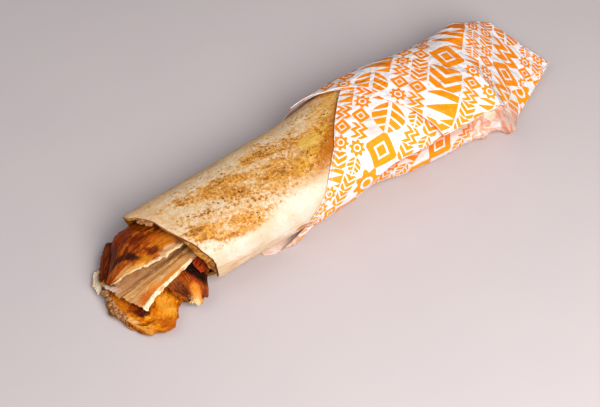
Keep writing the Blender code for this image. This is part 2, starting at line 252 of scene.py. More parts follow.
def sheet(name, surface, cells, thick, looks, replaced=(), inner=0, closed=False):
    """A sheet bent to surface(across, along), which gives a point and its place on the flat sheet;
    several surfaces make one piece of many sheets. inner is which look its lower side has. It rides
    on the wrap's one body and stands for the solids named in replaced."""
    surfaces = surface if isinstance(surface, list) else [surface]
    grid = bmesh.new()
    flat, steps = {}, {}
    for bent in surfaces:
        made = bmesh.ops.create_grid(grid, x_segments=cells[0], y_segments=cells[1], size=0.5)
        for vert in made["verts"]:
            steps[vert] = (vert.co.x + 0.5, vert.co.y + 0.5)
            point, flat[vert] = bent(*steps[vert])
            vert.co = (Vector(point) - CENTRE) * MM
    for name_of_map, places in (("Sheet", flat), ("Edges", steps)):
        layer = grid.loops.layers.uv.new(name_of_map)
        for face in grid.faces:
            for loop in face.loops:
                loop[layer].uv = places[loop.vert]
    if closed:
        bmesh.ops.remove_doubles(grid, verts=grid.verts, dist=0.01 * MM)
    mesh = bpy.data.meshes.new(name)
    grid.to_mesh(mesh)
    grid.free()
    mesh.shade_smooth()
    for look in looks:
        mesh.materials.append(look)
    piece = placed(name, mesh)
    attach(piece, "root")
    if replaced:
        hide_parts(*replaced)
    solidify = piece.modifiers.new("Thickness", "SOLIDIFY")
    solidify.thickness = thick * MM
    solidify.offset = -1
    solidify.material_offset = inner
    solidify.material_offset_rim = 0
    return piece


# ---- Materials ----


def tint(code):
    """A colour code such as "fcf3de" as linear red, green, blue and alpha."""
    parts = [int(code[i : i + 2], 16) / 255 for i in (0, 2, 4)]
    return tuple(p / 12.92 if p <= 0.04045 else ((p + 0.055) / 1.055) ** 2.4 for p in parts) + (1,)


class Wire:
    """A value, colour or vector on its way through a material; arithmetic adds Math nodes."""

    def __init__(self, look, socket):
        self.look = look
        self.socket = socket

    def math(self, operation, *values):
        return self.look.add("ShaderNodeMath", {"operation": operation}, dict(enumerate(values)))

    def vector_math(self, operation, *values, output=0):
        settings = {"operation": operation}
        return self.look.add("ShaderNodeVectorMath", settings, dict(enumerate(values)), output)

    def step(self, start, end):
        """0 before start and 1 past end, eased between; start may be the larger."""
        values = {"Value": self, "From Min": start, "From Max": end}
        return self.look.add("ShaderNodeMapRange", {"interpolation_type": "SMOOTHSTEP"}, values)

    def parts(self):
        """A vector's three parts."""
        node = self.look.add("ShaderNodeSeparateXYZ", {}, {0: self}).socket.node
        return [Wire(self.look, socket) for socket in node.outputs]

    def scaled(self, factors):
        """A vector with each part multiplied."""
        return self.vector_math("MULTIPLY", self, factors)

    def moved(self, by):
        """A vector with something added."""
        return self.vector_math("ADD", self, by)

    def length(self):
        return self.vector_math("LENGTH", self, output="Value")


def math_method(operation, wire_last):
    """A method of Wire that adds this Math node to it and the other value, if there is one."""
    def method(wire, *other):
        return wire.math(operation, *((*other, wire) if wire_last else (wire, *other)))

    return method


for methods, wire_last in (
    ({
        "__add__": "ADD", "__sub__": "SUBTRACT", "__mul__": "MULTIPLY", "__truediv__": "DIVIDE",
        "__pow__": "POWER", "__lt__": "LESS_THAN", "__gt__": "GREATER_THAN", "__abs__": "ABSOLUTE",
        "floor": "FLOOR", "fract": "FRACT", "most": "MAXIMUM", "least": "MINIMUM",
    }, False),
    ({"__radd__": "ADD", "__rsub__": "SUBTRACT"}, True),
):
    for method_name, operation in methods.items():
        setattr(Wire, method_name, math_method(operation, wire_last))


class Look:
    """A material being made; its colour is laid on in layers."""

    def __init__(self, name):
        self.material = bpy.data.materials.new(name)
        self.material.use_nodes = True
        self.tree = self.material.node_tree
        self.place = self.add("ShaderNodeTexCoord", {}, {}, "Object").scaled((1 / MM,) * 3)
        self.flat = self.uv("Sheet").scaled((100,) * 3)  # place on the flat sheet, in millimetres

    def add(self, kind, settings, values, output=0):
        """One more node; its settings are set first, then the values or links of its sockets."""
        node = self.tree.nodes.new(kind)
        for name, value in settings.items():
            setattr(node, name, value)
        self.connect(node, values)
        return Wire(self, node.outputs[output])

    def connect(self, node, values):
        for name, value in values.items():
            if isinstance(value, Wire):
                self.tree.links.new(value.socket, node.inputs[name])
            else:
                node.inputs[name].default_value = value

    def uv(self, name):
        return self.add("ShaderNodeUVMap", {"uv_map": name}, {})

    def cloud(self, size, detail=2.0, rough=0.5, where=None):
        """Noise of about 0.5 with lumps of this size in millimetres, one size or three."""
        sizes = size if isinstance(size, tuple) else (size, size, size)
        where = (where or self.place).scaled(tuple(1 / s for s in sizes))
        values = {"Vector": where, "Scale": 1.0, "Detail": detail, "Roughness": rough}
        return self.add("ShaderNodeTexNoise", {}, values)

    def dots(self, where, size, share, radius):
        """Small dots in this share of the cells of this size: 1 in a dot."""
        where = where.scaled((1 / size, 1 / size, 1 / size))
        cells = self.add("ShaderNodeTexVoronoi", {}, {"Vector": where, "Scale": 1.0})
        red = self.add("ShaderNodeSeparateColor", {}, {0: Wire(self, cells.socket.node.outputs[1])})
        return (cells < radius) * (red < share)

    def patch(self, where, centre, reach, ragged=0.5, size=3.0):
        """1 inside a blot with ragged edges, round centre and reaching so far each way."""
        away = where.moved(tuple(-c for c in centre) + (0,) * (3 - len(centre)))
        away = away.scaled(tuple(1 / r for r in reach) + (0,) * (3 - len(reach))).length()
        torn = self.cloud(size, 4, 0.7, where) - 0.5
        return (away + torn * ragged * 2).step(1.25, 0.6)

    def slanted(self, slope):
        """The flat place with its second part lowered by slope times the first."""
        u, v, _ = self.flat.parts()
        return self.add("ShaderNodeCombineXYZ", {}, {0: u, 1: v - u * slope})

    def blend(self, share, under, over):
        """The colour under with this share of the colour over it; each may be a code."""
        under, over = (tint(colour) if isinstance(colour, str) else colour for colour in (under, over))
        return self.add("ShaderNodeMix", {"data_type": "RGBA"}, {0: share, 6: under, 7: over}, 2)

    def lay(self, *layers):
        """Lays each (share, colour) over the colour so far."""
        for share, colour in layers:
            self.colour = self.blend(share, self.colour, colour)

    def done(self, rough, height, relief, wet=0.0, specular=0.1, soft=0.0):
        """The finished material, with its height in millimetres of relief; specular is how
        strongly it mirrors, wet where clear gloss lies over it, soft how far light goes in."""
        values = {"Height": height, "Distance": relief * MM, "Strength": 1.0}
        self.connect(self.tree.nodes["Principled BSDF"], {
            "Base Color": self.colour,
            "Roughness": rough,
            "Normal": self.add("ShaderNodeBump", {}, values),
            "Coat Weight": wet,
            "Coat Roughness": 0.2,
            "Specular IOR Level": specular,
            "Subsurface Weight": soft,
        })
        return self.material


def inner_turn(around):
    """1 on the sheet's inner turn, which starts under the seam."""
    return around.step(way_round(UNDER_SEAM) + 1, way_round(UNDER_SEAM) - 3)


def toasted_bread():
    """Thin flatbread, creamy and floury at its near side, toasted in gold grains on top, and
    soaked with oil along the paper's front edge."""
    look = Look("toasted_bread")
    along, around, _ = look.flat.parts()

    def turned(start, end):
        """0 before the angle start and 1 past the angle end; start may be the larger."""
        return around.step(way_round(start), way_round(end))

    fine = look.cloud(0.75, 2, 0.6)
    grain = look.cloud(1.7, 3, 0.7)
    soft = look.cloud(14, 2)
    slanting = look.slanted(0.3)
    patches = look.cloud((14, 5.5, 9), 4, 0.65, slanting)
    # the bare bread: cream, sandier over the top, tan on the far side and round the open end
    far = (around + (soft - 0.5) * 14).step(way_round(62), way_round(30))
    ring = along.step(-92, -108) * turned(150, 100)
    look.colour = look.blend(soft.step(0.35, 0.65), "f1dfcb", "e6ceb0")
    look.lay(
        (grain.step(0.50, 0.72) * 0.4, "d3ac74"),
        (turned(150, 120) * (grain.step(0.34, 0.62) * 0.5 + 0.25), "d2a468"),
        (far.most(ring * 0.7) * 0.6, "d89e68"),
        (look.cloud((7, 4, 5), 4, 0.7, look.flat).step(0.52, 0.66) * far * 0.55, "a8702c"),
        (inner_turn(around), look.blend(grain.step(0.3, 0.7), "7a3e02", "a86a1c")),
    )
    # the toasted zones, in gold grains with paler flour between them
    ends = along.step(-112, -94)
    lower = (around + (along + 60).most(0) * 0.36 + (patches - 0.5) * 12).step(236, 228)
    top = (turned(34, 66) * 0.55 + 0.45) * lower * ends
    broad, low, high, by_paper = (
        look.patch(slanting, (u, v), reach, 0.5, (12, 5, 5)) for u, v, *reach in (
            (-52, 222, 37, 10), (-73, 245, 25, 7.5), (-28, 209, 26, 9), (-8, 212, 16, 13),
        )
    )
    zones = broad.most(low).most(high * 0.85).most(by_paper)
    share = zones * 0.46 + (patches - 0.5) * 2.3 + (grain - 0.5) * 1.8 + 0.19
    toast = share.step(-0.05, 0.85) * top
    deep = (toast * 0.6 + (grain - 0.5) * 2.2 + (patches - 0.5)).step(0.42, 0.95)
    crumbs = look.cloud(1.0, 3, 0.75)
    gold = look.blend(crumbs.step(0.34, 0.62), "cc7e14", "eea63a")
    gold = look.blend(deep * 0.9, gold, "9e5808")
    shown = (toast * 1.1 + (fine - 0.5) * 1.5).step(0.10, 0.95)
    floury = (fine * 0.6 + grain * 0.4).step(0.52, 0.66) * turned(176, 150)
    scorch = deep * (patches + (fine - 0.5) * 0.7).step(0.56, 0.68)
    look.lay(
        (toast * 0.4, "e2b06a"),
        (shown * toast.step(0.02, 0.3) * 0.92, gold),
        (floury * 0.2, "f6e8d4"),
        (scorch * 0.75, "6b3a08"),
    )
    # oil from the paper's front edge inwards, and a stain low down
    to_paper = along + (around - way_round(70)) * 1.16 + (grain - 0.5) * 8 + (soft - 0.5) * 14
    soaked = to_paper.step(-14, 6) * turned(140, 116)
    crust = look.cloud(2.2, 4, 0.75)
    lower_crust = crust.step(0.49, 0.58) * turned(66, 92)
    edge = (to_paper + (fine - 0.5) * 14).step(7, 17)
    look.lay(
        (soaked * (grain.step(0.3, 0.6) * 0.35 + 0.5), "e09c30"),
        (soaked * lower_crust * 0.85, "9c580a"),
        (soaked * crust.step(0.47, 0.39) * 0.6, "f0be64"),
        (look.patch(look.flat, (-14, 204), (7, 4.5), 0.9, (3, 3, 3)) * 0.55, "e8bc58"),
        (edge * around.step(188, 196) * around.step(228, 214) * 0.9, "b25c00"),
        (look.patch(look.flat, (-38, 249), (3.4, 2), 0.9, 2) * 0.8, "c4641c"),
    )
    # toasted lines along the seam, and dark specks in clusters
    lines = look.cloud((30, 0.9, 3), 3, 0.6, look.flat).step(0.50, 0.60)
    seam = (around + (soft - 0.5) * 8).step(way_round(174), way_round(184))
    clusters = look.cloud((13, 5, 8), 2, where=look.slanted(0.3)).step(0.55, 0.60)
    specks = look.dots(look.place, 1.7, 0.36, 0.33) * (clusters * along.step(-100, -70))
    look.lay(
        (seam * lines * along.step(-28, -46) * 0.85, "d4903a"),
        (specks * top * 0.9, "2c1a0c"),
    )
    rough = 0.8 - soaked * 0.3 - toast * 0.1
    height = soft * 0.8 + grain * 0.6 + fine * 0.25 + shown * toast * 0.12
    return look.done(rough, height, 1.0, specular=0.12, soft=0.05)


def oiled_bread():
    """The flatbread's inner side, soaked by the meat's juices."""
    look = Look("oiled_bread")
    soft = look.cloud(9, 3)
    grain = look.cloud(2.2, 3, 0.65)
    look.colour = look.blend(soft.step(0.35, 0.6), "98580a", "683200")
    look.lay((grain.step(0.5, 0.7) * 0.5, "b8802c"))
    return look.done(0.5, soft + grain * 0.4, 0.6, specular=0.12)


def cut_bread():
    """The flatbread's edges: brown and oily round the open end, cream along the seam."""
    look = Look("cut_bread")
    around = look.flat.parts()[1]
    grain = look.cloud(1.6, 3, 0.7)
    near = around.step(way_round(90), way_round(150)).most(inner_turn(around))
    seam = around.step(way_round(SEAM_ANGLE) - 2, way_round(SEAM_ANGLE) - 1)
    look.colour = look.blend(near, "ac7844", "94540f")
    look.lay((grain.step(0.5, 0.66) * 0.6, "6e3d10"), (seam, "e6cda4"))
    return look.done(0.6, grain, 0.5, specular=0.12)


def bread_surface(across, along):
    """The bread's outer surface, from the sheet's inner edge to its seam: its point and place."""
    angle = INNER_ANGLE + (SEAM_ANGLE - INNER_ANGLE) * across
    inset = BREAD_PITCH * (SEAM_ANGLE - angle) / 360
    bare = roll_point(-60, angle)
    start = rim_x(angle) + 0.7 * ripple(bare, 9, 2) + 0.35 * ripple(bare, 3, 3)
    x = start + (BREAD_END - start) * along**1.25
    place = roll_point(x, angle)
    from_rim = x - start
    lumps = 0.55 * ripple(place, 17, 5) + 0.3 * ripple(place, 6, 6) + 0.12 * ripple(place, 2.6, 7)
    folds = ripple((x / 22, way_round(angle) / 1.6, 0), 1, 8)
    lumps += 0.35 * folds * ease(angle, 180, 196)
    lumps += 0.5 * ripple(place, 5, 9) * (1 - ease(from_rim, 0, 12))
    thinning = 0.35 * (1 - ease(from_rim, 0, 2.5))
    point = roll_point(x, angle, inset - lumps * 0.8 + thinning)
    return point, (x / 100, way_round(angle) / 100)


def make_flatbread():
    looks = (toasted_bread(), oiled_bread(), cut_bread())
    piece = sheet(
        "rolled_flatbread", bread_surface, (220, 150), BREAD_THICK, looks,
        ["flatbread"], inner=1,
    )
    piece.modifiers["Thickness"].material_offset_rim = 2
    soften = piece.modifiers.new("Soft edges", "BEVEL")
    soften.width = 0.45 * MM
    soften.segments = 2
    soften.limit_method = "ANGLE"
    soften.angle_limit = math.radians(65)
    return piece


# ---- The paper ----


def printed_ink(look, where):
    """The print: bands of plain ornaments that run askew to the roll, in two sizes. Each lies in a
    square cell, with a along the band and b across it from -0.5 to 0.5."""
    band, turn = 18.0, math.radians(134)
    u, v, _ = where.parts()
    p = u * math.cos(turn) + v * math.sin(turn)
    q = (v * math.cos(turn) - u * math.sin(turn)) / band
    smaller = ((q * 0.5).fract() > 0.5) + 1.0  # 1 in a broad band, 2 in a pair of narrow ones
    row = q * smaller
    line = row.floor()
    p = p * smaller / band + (line * 0.37).fract() * 3.0
    a = p.fract() - 0.5
    b = row.fract() - 0.5
    cell = look.add("ShaderNodeCombineXYZ", {}, {0: p.floor(), 1: line})
    pick = look.add("ShaderNodeTexWhiteNoise", {"noise_dimensions": "2D"}, {"Vector": cell}, "Value")
    wide, high = abs(a), abs(b)
    reach = (a * a + b * b) ** 0.5
    rim = wide + high
    diamonds = (rim < 0.19) + (rim > 0.28) * (rim < 0.55)
    chevrons = (((a + high * 0.8) / 0.40).fract() < 0.68) * (wide < 0.48) * (high < 0.46)
    turns = look.add("ShaderNodeMath", {"operation": "ARCTAN2"}, {0: b, 1: a}) * 8
    petals = turns.math("COSINE", turns) * 0.07 + 0.42
    flowers = (reach < petals) * (reach > 0.22) + (reach < 0.14)
    wave = abs((a / 0.48).fract() - 0.5) * 0.7 - 0.175
    waves = ((abs(b - wave - 0.21) < 0.145) + (abs(b - wave + 0.21) < 0.145)) * (wide < 0.48)
    leaf = high + wide * wide * 1.7
    leaves = (leaf < 0.46) * (high > 0.05) * (((a - high * 0.5) / 0.26).fract() < 0.74)
    pennants = ((b + 0.45) < (a * 2 + 0.5).fract() * 1.0) * (wide < 0.48) * (high < 0.45)
    motifs = (diamonds, chevrons, flowers, waves, leaves, pennants)
    ink = 0.0
    for number, motif in enumerate(motifs):
        chosen = (pick > number / len(motifs)) * (pick < (number + 1) / len(motifs))
        ink = motif.least(1.0) * chosen + ink
    return ink


def printed_paper(name, shift, front_hem, lower_hem, shade=None):
    """Thin greaseproof paper, warm white, with an orange print; shift moves the print on its
    sheet, which stays bare up to front_hem along it and past lower_hem across it, where it is
    also painted lighter as a highlight, and shade(look) gives where painted shade, pink and
    darker, lies where other layers keep the light off it, and where it is bare of print."""
    look = Look(name)
    around = look.flat.parts()[1]
    soft = look.cloud(22, 2)
    fibre = look.cloud(1.3, 3, 0.6)
    grease = look.cloud(9, 3).step(0.56, 0.72) * 0.35
    grease = grease.most(look.patch(look.flat, (20, way_round(122)), (9, 6), 0.8, 5) * 0.6)
    corner = look.place.parts()[0].step(-36, -46)  # the corner that lies on the ground
    across, along = look.uv("Edges").parts()[:2]  # shares of the sheet, 0 to 1
    # the bare hem along the edges: its print fades, and it is painted lighter as a highlight
    hem_and_highlight = (front_hem - along).most((across - lower_hem) * 3).step(-0.012, 0.012)
    worn = look.cloud(2.0, 3, 0.7).step(0.2, 0.45) * 0.15 + 0.85
    shown = printed_ink(look, look.flat.moved(shift)) * worn * (1 - corner * 0.3)
    shown = shown * (1 - hem_and_highlight * 0.85)
    look.colour = look.blend(soft.step(0.3, 0.7), "f3eeee", "eae2e2")
    # grease stains, the greyer corner on the ground, and the hem painted lighter as a highlight
    look.lay((grease, "d8c4bc"), (corner * 0.8, "dccdc8"), (hem_and_highlight * 0.8, "faf7f5"))
    # painted shade: ink deeper orange over the top, darker on the far side, yellower where lit
    low = (around + (soft - 0.5) * 16).step(232, 204)
    painted_far_shade = around.step(way_round(58), way_round(30))
    orange = look.blend(painted_far_shade * 0.6, look.blend(low, "fb9c0c", "f68a00"), "d86404")
    # painted shade under other layers: pink, a darker line at its deepest, deeper orange ink
    if shade:
        shaded, bare = shade(look)
        shown = shown * (1 - bare)
        look.lay((shaded * 0.75, "eec0a4"), (shaded.step(0.72, 1.0) * 0.7, "b48c7c"))
        orange = look.blend(shaded, orange, "e66602")
    look.lay((shown, orange))
    rough = 0.5 + fibre * 0.15 - grease * 0.2
    folds = abs(look.cloud(12, 2) - 0.5) * 3
    folds = folds + abs(look.cloud(5, 2) - 0.5) * 1.4
    return look.done(rough, folds + fibre * 0.06, 1.1, specular=0.14)


def shade_of_flap(look):
    """On the front fold: painted shade in a soft band along the outer flap's front edge."""
    u, v, _ = look.flat.parts()
    # how far ahead of that edge, which on the sheet runs by (23, 42), 47.9 long, from (29, 196)
    ahead = ((v - 196) * 23 - (u - 29) * 42) / 47.9
    below = ahead.step(5.0, 0.5) * 0.6 + ahead.step(1.8, 0.4) * 0.4
    return below * v.step(192, 200) * v.step(246, 236), 0.0


def shade_of_folds(look):
    """On the lower sheet: painted shade under the front fold's lower edge, in the pocket at its end
    and in the creases of the crumpled tail, which shows little print."""
    u, v, _ = look.flat.parts()
    under = v.step(252, 243) * v.step(225, 236) * u.step(-6, 16)
    pocket = look.patch(look.flat, (84, 240), (10, 5), 0.4, 4)
    x, y, _ = look.place.parts()
    tail = x.step(64, 74) * x.step(112, 102) * y.step(-24, -29)
    creases = abs(look.cloud(6, 2) - 0.5).step(0.09, 0.0)
    return under.most(pocket).most(tail * (creases * 0.85 + 0.05)) * 0.9, tail * 0.5


def plain_paper():
    """The paper's inner side, with its print only faintly showing through."""
    look = Look("paper_inside")
    soft = look.cloud(8, 3)
    look.colour = look.blend(soft.step(0.35, 0.65), "ecdfd8", "e4d0c6")
    look.lay((printed_ink(look, look.flat) * 0.3, "f29a45"))
    return look.done(0.6, soft, 0.4, specular=0.3)


def paper_point(x, angle, out):
    """A point of the sleeve, out beyond the bread: on the ground where its corner lies flat."""
    tuck = straight(TUCK_EDGE, x)
    in_sight = 1 - ease(angle, *UNDERNEATH)
    under_tuck = TUCK_DEPTH * ease(x, *TUCK_GROWS) * ease(angle, tuck - 2, tuck + 3) * in_sight
    pleat = PLEAT_DEPTH * math.sin(2 * math.pi * x / PLEAT_LENGTH) * ease(x, *PLEATS_GROW)
    spread = (straight(NEAR_SPREAD, x) + pleat) * ease(angle, *SPREAD_TURN) * in_sight
    point = Vector(roll_point(x, angle, under_tuck - out - spread))
    flat = within(angle, *FLAT_TURN) * (1 - ease(x, *FLAT_ENDS))
    return point.lerp(Vector((x, point.y, max(BREAD_FLOOR - out, 0.0))), flat)


def end_point(section, angle, inset):
    """A point of one of the folded end's sections."""
    far, near, rise, drop, power = section
    far, near = Vector(far), Vector(near)
    across, up = oval(angle, power)
    point = (far + near) / 2 + (far - near) / 2 * across
    point.z = max(point.z + (max(rise - inset, 0.02) if up > 0 else drop) * up, 0.0)
    return point


def wrap_point(angle, travel, front, out, inset=0.0):
    """A point of the paper: travel 0 to 1 runs from its front edge to the sleeve's end, and 1 to 7
    over the folded end's sections to its flat tip."""
    if travel <= 1:
        return paper_point(front + (SLEEVE_END - front) * travel, angle, out)
    tip = END_SECTIONS[-1][:2] + (0.02, 0.02, 2.0)
    sections = END_SECTIONS + (tip, tip)
    lower = min(int(travel - 1), len(sections) - 1)
    after = end_point(sections[lower], angle, inset)
    before = paper_point(SLEEVE_END, angle, out)
    if lower:
        before = end_point(sections[lower - 1], angle, inset)
    return before.lerp(after, travel - 1 - lower)


def travel_x(front, travel):
    """About how far along the roll this travel comes."""
    return front + (SLEEVE_END - front) * min(travel, 1) + 7 * max(travel - 1, 0)


PAPER_MIDDLE = {-100: 1, 16: 3.8, 90: -1, 150: -14}  # x: y of the middle


def creased(point, amount):
    """The point moved out from the roll's middle by the paper's creases and soft dents."""
    dents = 0.5 * ripple(point, 24, 11) + 0.5 * (crease(point, 13, 12) - 0.4)
    dents += 0.28 * (crease(point, 6.5, 13) - 0.4)
    middle = Vector((point.x, straight(PAPER_MIDDLE, point.x), 18))
    point = point + (point - middle).normalized() * dents * amount
    point.z = max(point.z, 0.0)
    return point


def on_the_sheet(point, angle, travel):
    """Where a point of the paper is on the flat sheet: rolled out from round the roll, and as
    seen from above on the folded end."""
    if travel <= 1:
        return Vector((point.x, way_round(angle))) / 100
    nearer = (point.y + 1) * 1.12
    below = ease(angle, 180, 250)
    seen = (way_round(90) - nearer) * (1 - below) + (way_round(270) + nearer) * below
    flattened = ease(travel, 1, 2.5)
    around = way_round(angle) * (1 - flattened) + seen * flattened
    return Vector((SLEEVE_END + (point.x - SLEEVE_END) * 1.25, around)) / 100


def split_travel(along, share):
    """Travel over the sleeve for this share of the rows, then over the folded end."""
    if along <= share:
        return along / share
    return min(1 + (along - share) / (1 - share) * 6, 6.999)


def lower_paper(across, along):
    """The sheet all round, closed at the folded end, which shows below the upper folds."""
    angle = 360 * across
    hidden = (1 - ease(angle, 200, 214)) + ease(angle, 300, 330)
    front = straight(FRONT_ROUND, angle) + 1.5 * hidden
    travel = split_travel(along, 0.72)
    point = wrap_point(angle, travel, front, 0.85, 0.7)
    place = on_the_sheet(point, angle, travel)
    x = travel_x(front, travel)
    tail = within(x, 68, 78, 104, 114) * within(angle, 168, 184, 225, 245)
    pocket = within(x, 80, 86, 88, 93) * within(angle, 158, 166, 172, 182)
    folds = abs(math.sin(math.pi * (x + 3 * ripple(point, 9, 31)) / 8.5)) - 0.5
    point = creased(point, 0.5 * ease(x, front, front + 6) + 1.2 * tail)
    point += Vector((0.3, -1, 0.35)).normalized() * (folds * 2.8 * tail - 2.0 * pocket)
    point.z = max(point.z, 0.0)
    return point, place


def front_paper(across, along):
    """The fold in front: it lies over the bread's near side and ends in a free lower edge."""
    top = 40.0
    angle = top + (214 - top) * across
    front = straight({30: 38, **FRONT_EDGE}, angle)
    x = front + (64 - front) * along
    angle = top + (straight(TUCK_EDGE, x) - top) * across
    raised = 1.5 * ease(across, 0.82, 1) * within(x, 2, 18, 46, 54)
    held = 0.35 + 0.85 * ease(x, front, front + 10)
    point = paper_point(x, angle, held + raised)
    place = on_the_sheet(point, angle, 0)
    point = creased(point, 0.75 * ease(x, front, front + 7) + 0.05)
    return point, place


FLAP_FRONT = {  # angle: x of the outer flap's front edge
    -60: 18, -20: 8, 0: 0, 27: -4, 40: 4, 53: 10, 60: 17, 66: 22, 77: 29, 99: 32, 112: 36,
    120: 40, 134: 44, 147: 48, 166: 52,
}
HEM_SHARE = 0.04  # of the outer flap's rows are rolled in at its front edge
FLAP_LOW = {  # x: angle of the outer flap's lower edge, which climbs over the folded end
    50: 167, 58: 166, 64: 167, 70: 164, 78: 159, 82: 156, 88: 153, 96: 142,
    107: 131, 120: 106, 123: 76, 126: 26,
}


def upper_paper(across, along):
    """The outer flap: from a softly rolled front edge over the top to the flat pointed end."""
    start, end = -60.0, 167.0
    angle = start + (end - start) * across
    front = straight(FLAP_FRONT, angle)
    travel = split_travel(max(along - HEM_SHARE, 0) / (1 - HEM_SHARE), 0.66)
    x = travel_x(front, travel)
    angle = start + (straight(FLAP_LOW, x) - start) * across
    rolled = 0.2 + 0.25 * within(angle, 30, 50, 85, 120)
    hem = max(0.0, 1 - along / HEM_SHARE)  # 1 on the sheet's very edge, tucked in under the fold
    raised = 0.8 * ease(across, 0.8, 1)
    lifted = rolled + 0.5 * ease(angle, 80, 110)
    out = 1.6 + raised * ease(x, 50, 60) + lifted * (1 - ease(x, front + 1, front + 9))
    point = wrap_point(angle, travel, front, out - 2 * rolled * hem)
    place = on_the_sheet(point, angle, travel)
    point.z += raised * ease(travel, 1, 1.5)
    point = creased(point, 0.6 * ease(x, front, front + 4) + 0.1 + 0.5 * ease(travel, 0.9, 1.6))
    if hem:
        point.x += math.sin(math.pi * hem) * -rolled + 1.5 * hem
    return point, place


def make_paper():
    """The sleeve's three layers, of one printed sheet folded over itself."""
    inside = plain_paper()
    slot, solid = "greaseproof_paper", ["paper_wrapper"]
    for name, surface, cells, look, closed in (
        ("paper_lower_sheet", lower_paper, (170, 170),
         printed_paper("print_on_lower_sheet", (0, 0, 0), 0.0, 2.0, shade_of_folds), True),
        ("paper_front_fold", front_paper, (110, 90),
         printed_paper("print_on_front_fold", (0, 0, 0), 0.0, 0.992, shade_of_flap), False),
        ("paper_outer_flap", upper_paper, (150, 190),
         printed_paper("print_on_outer_flap", (31, -17, 0), 0.044, 0.992), False),
    ):
        sheet(name, surface, cells, 0.2, (look, inside), solid, 1, closed)


# ---- The chicken ----


def mottle(look, code, size, start, end, share):
    """Lays spots of colour all over the look: the higher start and end, the fewer."""
    look.lay((look.cloud(size, 4, 0.7, look.flat).step(start, end) * share, code))


def blot(look, code, centre, reach, share=1.0, ragged=0.8, slope=0.0):
    """Lays a ragged blot of colour on the look, round centre and reaching so far each way."""
    where = look.slanted(slope) if slope else look.flat
    mask = look.patch(where, centre, reach, ragged, look.torn)
    mask = mask * (0.9 + (look.grain - 0.5) * 1.2 + (look.fibres - 0.5) * 1.2).least(1.0).most(0.0)
    look.lay((mask * share, code))


def near_rim(look, code, start, end, share, waver=4):
    """Colours the near edge: full up to end millimetres in, none past start."""
    edge = look.flat.parts()[0] + (look.cloud((2, 3, 3), 4, 0.7, look.flat) - 0.5) * waver
    look.lay((edge.step(start, end) * share, code))


def crumbly_border(look, from_near, from_bread):
    """Browns and crumbles the look past these distances."""
    u, v, _ = look.flat.parts()
    ragged = (look.cloud(2.4, 4, 0.7) - 0.5) * 10
    border = (u + ragged).step(from_near, from_near + 2)
    border = border.most((v + ragged).step(from_bread, from_bread + 2))
    crumbs = look.cloud(1.2, 3, 0.7).step(0.40, 0.58)
    look.lay((border * 0.9, look.blend(crumbs, "5e2a12", "c08a54")))


# Each look of roast chicken: base, streaks and their size, size of torn borders, roughness, relief,
# how strongly it mirrors, how far light goes in and how wet it is in spots
ROASTS = {
    "glazed_far_slice": ("8c3c14", "561a08", (1.8, 7), (1.5, 5, 4), 0.32, 0.8, 0.06, 0, 0.4),
    "glazed_inner_slice": ("b83e04", "701800", (1.8, 7), (1.5, 5, 4), 0.32, 0.8, 0.06, 0, 0.4),
    "packed_meat": ("7a3a14", "4a1a0a", (1.8, 7), (1.5, 5, 4), 0.32, 0.8, 0.06, 0, 0.4),
    "glazed_top_slice": ("a84e06", "782600", (2.2, 12), (1.5, 5, 4), 0.32, 0.8, 0.08, 0, 0.5),
    "pale_upper_slice": ("b08050", "a26e40", (1.3, 4), (1.5, 5, 4), 0.5, 0.3, 0.1, 0.04, 0),
    "pale_lower_slice": ("d09c60", "c08a52", (1.3, 4), (1.5, 5, 4), 0.48, 0.3, 0.12, 0.03, 0),
    "crisp_bottom_slice": ("f0960e", "d47202", (2.4, 4), (2.4, 2.4, 3), 0.34, 0.85, 0.1, 0, 0.4),
    "charred_side_slice": ("c0620e", "8c3004", (7.0, 1.2), (5, 1.4, 4), 0.32, 0.9, 0.06, 0, 0.4),
    # painted light: torn_end_piece's near-white base is lighter than the meat, to offset its shade
    "torn_end_piece": ("fff0d4", "e8bc90", (2.0, 6), (1.5, 5, 4), 0.5, 0.7, 0.1, 0, 0),
    "torn_crumbs": ("c89664", "74401c", (0.8, 2), (1.5, 5, 4), 0.5, 0.5, 0.1, 0, 0),
}
DARK_LAYERS = (
    (mottle, "2a0c06", (3, 5, 4), 0.52, 0.64, 0.75),
    (mottle, "a8643a", (1.6, 4, 4), 0.60, 0.70, 0.55),
)
